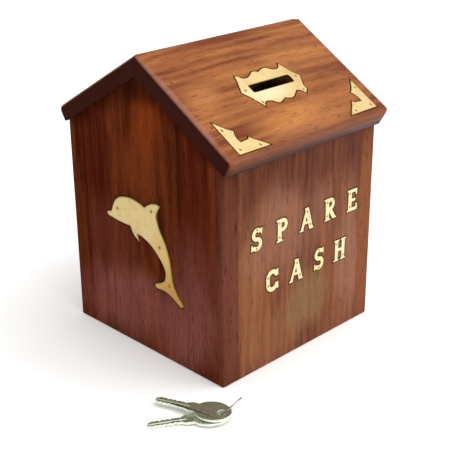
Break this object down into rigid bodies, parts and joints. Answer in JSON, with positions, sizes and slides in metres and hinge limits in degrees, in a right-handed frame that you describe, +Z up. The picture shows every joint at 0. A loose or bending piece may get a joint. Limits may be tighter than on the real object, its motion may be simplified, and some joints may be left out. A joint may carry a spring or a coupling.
{
  "type": "wooden money box",
  "caption": "House-shaped hardwood money box with brass inlay, a coin slot in the roof, a hinged back door with a cam lock, and two keys on a wire ring.",
  "frame": {"origin": "centre of the underside of the four walls, on the surface that the box stands on", "axes": "+Z up, -Y out of the lettered front wall, ridge along X, dolphin gable towards -X"},
  "size_m": [0.183, 0.1616, 0.178],
  "materials": {
    "wall_wood": "varnished sheesham, satin",
    "roof_wood": "varnished sheesham, satin",
    "inner_wood": "sawn, unvarnished",
    "inlay_brass": "sanded flush, satin",
    "hinge_brass": "pressed, bright",
    "lac_line": "dark lac and sawdust",
    "lock_chrome": "nickel plated, bright",
    "zinc_steel": "zinc plated",
    "key_nickel": "worn nickel plate"
  },
  "bodies": {
    "house": {"gable_left": "wall_wood", "gable_right": "wall_wood", "front_panel": "wall_wood", "back_stile_hinge": "wall_wood", "back_stile_lock": "wall_wood", "back_rail_top": "wall_wood", "back_rail_bottom": "wall_wood", "base_panel": "inner_wood", "roof_front": "roof_wood", "roof_rear": "roof_wood", "wall_pins": "zinc_steel", "roof_pins": "zinc_steel", "base_pins": "zinc_steel", "slot_plate": "inlay_brass", "corner_plate_left": "inlay_brass", "corner_plate_right": "inlay_brass", "roof_plate_pins": "inlay_brass", "roof_filler": "lac_line", "dolphin_inlay": "inlay_brass", "dolphin_pins": "inlay_brass", "gable_filler": "lac_line", "letter_1_s": "inlay_brass", "letter_2_p": "inlay_brass", "letter_3_a": "inlay_brass", "letter_4_r": "inlay_brass", "letter_5_e": "inlay_brass", "letter_6_c": "inlay_brass", "letter_7_a": "inlay_brass", "letter_8_s": "inlay_brass", "letter_9_h": "inlay_brass", "letter_pins": "inlay_brass", "front_filler": "lac_line", "door_stop_top": "inner_wood", "door_stop_bottom": "inner_wood", "hinge_upper_frame_leaf": "hinge_brass", "hinge_upper_pin": "hinge_brass", "hinge_lower_frame_leaf": "hinge_brass", "hinge_lower_pin": "hinge_brass", "hinge_screws_frame": "hinge_brass"},
    "door": {"door": "wall_wood", "hinge_upper_door_leaf": "hinge_brass", "hinge_lower_door_leaf": "hinge_brass", "hinge_screws_door": "hinge_brass", "lock_body": "lock_chrome", "lock_nut": "zinc_steel"},
    "lock_plug": {"lock_plug": "lock_chrome", "lock_wafers": "hinge_brass", "lock_cam": "zinc_steel", "cam_washer": "zinc_steel", "cam_screw": "zinc_steel"},
    "key_lower": {"key_lower": "key_nickel"},
    "key_upper": {"key_upper": "key_nickel"},
    "key_ring": {"key_ring": "key_nickel"}
  },
  "joints": [
    {"name": "door_hinge", "type": "hinge", "parent": "house", "child": "door", "pos_m": [0.0391, 0.0663, 0.062], "axis": [0, 0, -1], "range_deg": [0, 175]},
    {"name": "lock_turn", "type": "hinge", "parent": "door", "child": "lock_plug", "pos_m": [-0.0241, 0.064, 0.062], "axis": [0, 1, 0], "range_deg": [0, 90]},
    {"name": "keys_lift", "type": "slide", "parent": "house", "child": "key_lower", "axis": [0, 0, 1], "range_m": [0, 0.06]},
    {"name": "upper_key_swing", "type": "hinge", "parent": "key_lower", "child": "key_upper", "pos_m": [-0.08586, -0.08576, 0.0034], "axis": [-0.0297, 0.0193, 0.9994], "range_deg": [-30, 60]},
    {"name": "ring_turn", "type": "hinge", "parent": "key_lower", "child": "key_ring", "pos_m": [-0.0792, -0.086, 0.00584], "axis": [-0.1615, 0.7534, 0.6374], "continuous": true}
  ]
}
